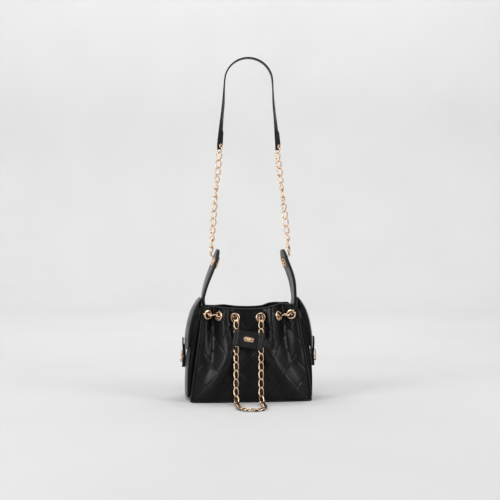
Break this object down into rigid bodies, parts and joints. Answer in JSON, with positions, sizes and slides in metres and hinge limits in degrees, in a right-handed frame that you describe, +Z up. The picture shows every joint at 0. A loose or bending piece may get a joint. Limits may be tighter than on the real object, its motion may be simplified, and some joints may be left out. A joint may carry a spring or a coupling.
{
  "type": "bucket bag",
  "caption": "Quilted leather bucket bag with woven-chain drawstring and slider, buckled side pockets and a chain shoulder strap.",
  "frame": {"origin": "middle of the base's underside, on the surface that the bag stands on", "axes": "+Z up, -Y to the bag's front, where the drawstring hangs, +X to the right seen from the front"},
  "size_m": [0.2526, 0.2127, 0.6277],
  "materials": {
    "black_leather": "smooth black leather with a soft sheen",
    "lining_fabric": "plain woven dark lining",
    "base_board": "matt stiffener board",
    "gold_metal": "polished pale rose gold plating",
    "snap_steel": "brushed",
    "woven_chain": "pale gold links woven with a black leather lace"
  },
  "bodies": {
    "root": {"back_panel": "black_leather", "base_board": "base_board", "base_panel": "black_leather", "drawstring_loop": "woven_chain", "drawstring_run": "woven_chain", "eyelet_back_1": "gold_metal", "eyelet_back_2": "gold_metal", "eyelet_back_3": "gold_metal", "eyelet_back_4": "gold_metal", "eyelet_back_5": "gold_metal", "eyelet_back_6": "gold_metal", "eyelet_front_1": "gold_metal", "eyelet_front_2": "gold_metal", "eyelet_front_3": "gold_metal", "eyelet_front_4": "gold_metal", "eyelet_front_5": "gold_metal", "eyelet_front_6": "gold_metal", "flap_strip_left": "black_leather", "flap_strip_right": "black_leather", "front_panel": "black_leather", "gusset_left": "black_leather", "gusset_right": "black_leather", "lining": "lining_fabric", "pocket_left": "black_leather", "pocket_right": "black_leather", "snap_pocket_left": "snap_steel", "snap_pocket_right": "snap_steel", "strap_toggle_left": "gold_metal", "strap_toggle_right": "gold_metal", "tab_eyelet_left": "gold_metal", "tab_eyelet_right": "gold_metal", "tab_left": "black_leather", "tab_right": "black_leather"},
    "strap_chain_left": {"strap_chain_left": "gold_metal"},
    "strap_chain_right": {"strap_chain_right": "gold_metal"},
    "shoulder_strap": {"shoulder_strap": "black_leather", "strap_eyelet_left": "gold_metal", "strap_eyelet_right": "gold_metal", "strap_ring_left": "gold_metal", "strap_ring_right": "gold_metal"},
    "flap_left": {"flap_left": "black_leather", "belt_left": "black_leather", "buckle_left": "gold_metal", "snap_flap_left": "snap_steel"},
    "prong_left": {"prong_left": "gold_metal"},
    "flap_right": {"flap_right": "black_leather", "belt_right": "black_leather", "buckle_right": "gold_metal", "snap_flap_right": "snap_steel"},
    "prong_right": {"prong_right": "gold_metal"},
    "slider": {"slider_leather": "black_leather", "slider_plate": "gold_metal", "slider_stud": "gold_metal"}
  },
  "joints": [
    {"name": "strap_swing_left", "type": "hinge", "parent": "root", "child": "strap_chain_left", "pos_m": [0, 0, 0.25], "axis": [-1, 0, 0], "range_deg": [-75, 75]},
    {"name": "strap_swing_right", "type": "hinge", "parent": "root", "child": "strap_chain_right", "pos_m": [0, 0, 0.25], "axis": [-1, 0, 0], "range_deg": [-75, 75]},
    {"name": "strap_fold", "type": "hinge", "parent": "strap_chain_left", "child": "shoulder_strap", "pos_m": [0, 0, 0.451], "axis": [-1, 0, 0], "range_deg": [-90, 90]},
    {"name": "flap_lift_left", "type": "hinge", "parent": "root", "child": "flap_left", "pos_m": [-0.0925, 0, 0.184], "axis": [0, 1, 0], "range_deg": [0, 140]},
    {"name": "prong_lift_left", "type": "hinge", "parent": "flap_left", "child": "prong_left", "pos_m": [-0.1178, 0, 0.078], "axis": [0, 1, 0], "range_deg": [0, 55]},
    {"name": "flap_lift_right", "type": "hinge", "parent": "root", "child": "flap_right", "pos_m": [0.0925, 0, 0.184], "axis": [0, -1, 0], "range_deg": [0, 140]},
    {"name": "prong_lift_right", "type": "hinge", "parent": "flap_right", "child": "prong_right", "pos_m": [0.1178, 0, 0.078], "axis": [0, -1, 0], "range_deg": [0, 55]},
    {"name": "slider_slide", "type": "slide", "parent": "root", "child": "slider", "axis": [-0.0173, -0.1475, -0.9889], "range_m": [-0.004, 0.06]}
  ],
  "couplings": [
    {"joint": "strap_swing_right", "follows": "strap_swing_left", "ratio": 1}
  ]
}
